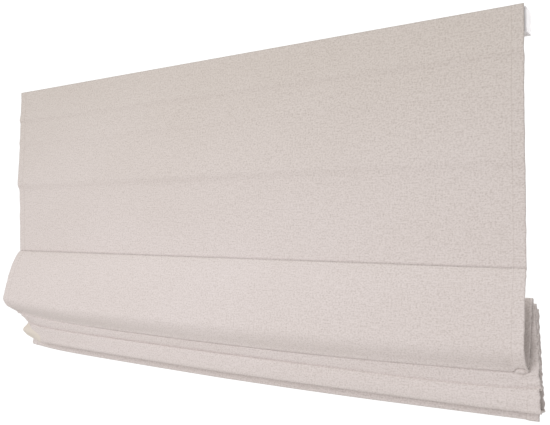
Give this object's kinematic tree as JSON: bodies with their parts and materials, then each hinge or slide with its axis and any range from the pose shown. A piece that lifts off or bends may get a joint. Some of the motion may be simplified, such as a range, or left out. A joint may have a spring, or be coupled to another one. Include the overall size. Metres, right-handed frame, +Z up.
{
  "type": "roman blind",
  "caption": "Wide cloth blind on a slim headrail, part raised, its lower half folded into soft pleats in front of the lift cords.",
  "frame": {"origin": "on the wall, midway between the two screw holes of the middle bracket", "axes": "+X along the headrail, +Y into the wall, +Z up; the cloth faces -Y"},
  "size_m": [1.205, 0.0847, 0.6226],
  "materials": {
    "rail_paint": "satin",
    "bracket_steel": "satin",
    "bar_aluminium": "satin",
    "shaft_steel": "satin",
    "white_plastic": "satin",
    "grey_plastic": "satin",
    "clear_plastic": "satin",
    "glass_fibre": "gloss",
    "hook_and_loop": "matt",
    "sleeve_tape": "matt",
    "cord": "matt",
    "cloth": "woven"
  },
  "bodies": {
    "head": {"headrail": "rail_paint", "hook_tape": "hook_and_loop", "loop_tape": "hook_and_loop", "control_housing": "white_plastic", "control_plug": "white_plastic", "end_cap": "white_plastic", "bracket_left": "bracket_steel", "bracket_middle": "bracket_steel", "bracket_right": "bracket_steel", "cradle_left": "grey_plastic", "cradle_middle": "grey_plastic", "cradle_right": "grey_plastic", "cloth": "cloth", "lift_cord_left": "cord", "lift_cord_middle": "cord", "lift_cord_right": "cord", "rod_1": "glass_fibre", "rod_tips_1": "clear_plastic", "rod_sleeve_1": "sleeve_tape", "cord_rings_1": "clear_plastic", "rod_2": "glass_fibre", "rod_tips_2": "clear_plastic", "rod_sleeve_2": "sleeve_tape", "cord_rings_2": "clear_plastic"},
    "drive": {"drive_shaft": "shaft_steel", "chain_wheel": "grey_plastic", "spool_left": "grey_plastic", "spool_middle": "grey_plastic", "spool_right": "grey_plastic", "cord_turns_left": "cord", "cord_turns_middle": "cord", "cord_turns_right": "cord"},
    "third_rod": {"rod_3": "glass_fibre", "rod_tips_3": "clear_plastic", "rod_sleeve_3": "sleeve_tape", "cord_rings_3": "clear_plastic"},
    "fourth_rod": {"rod_4": "glass_fibre", "rod_tips_4": "clear_plastic", "rod_sleeve_4": "sleeve_tape", "cord_rings_4": "clear_plastic"},
    "bottom": {"rod_5": "glass_fibre", "rod_tips_5": "clear_plastic", "rod_sleeve_5": "sleeve_tape", "cord_rings_5": "clear_plastic", "cord_locks": "clear_plastic", "bottom_bar": "bar_aluminium", "bar_caps": "clear_plastic"}
  },
  "joints": [
    {"name": "third_rod_drop", "type": "slide", "parent": "head", "child": "third_rod", "axis": [0, -0.0265, -0.9996], "range_m": [0, 0.26409], "deforming": ["cloth", "lift_cord_left", "lift_cord_middle", "lift_cord_right"]},
    {"name": "fourth_rod_drop", "type": "slide", "parent": "third_rod", "child": "fourth_rod", "axis": [0, -0.0326, -0.9995], "range_m": [0, 0.30718]},
    {"name": "bottom_drop", "type": "slide", "parent": "fourth_rod", "child": "bottom", "axis": [0, -0.0326, -0.9995], "range_m": [0, 0.30718]},
    {"name": "shaft_turn", "type": "hinge", "parent": "head", "child": "drive", "pos_m": [0, -0.029, -0.007], "axis": [1, 0, 0], "range_deg": [0, 6136.8]}
  ],
  "couplings": [
    {"joint": "fourth_rod_drop", "follows": "third_rod_drop", "ratio": 1.1631},
    {"joint": "bottom_drop", "follows": "third_rod_drop", "ratio": 1.1631},
    {"joint": "shaft_turn", "follows": "third_rod_drop", "rad_per_m": 405.44}
  ]
}
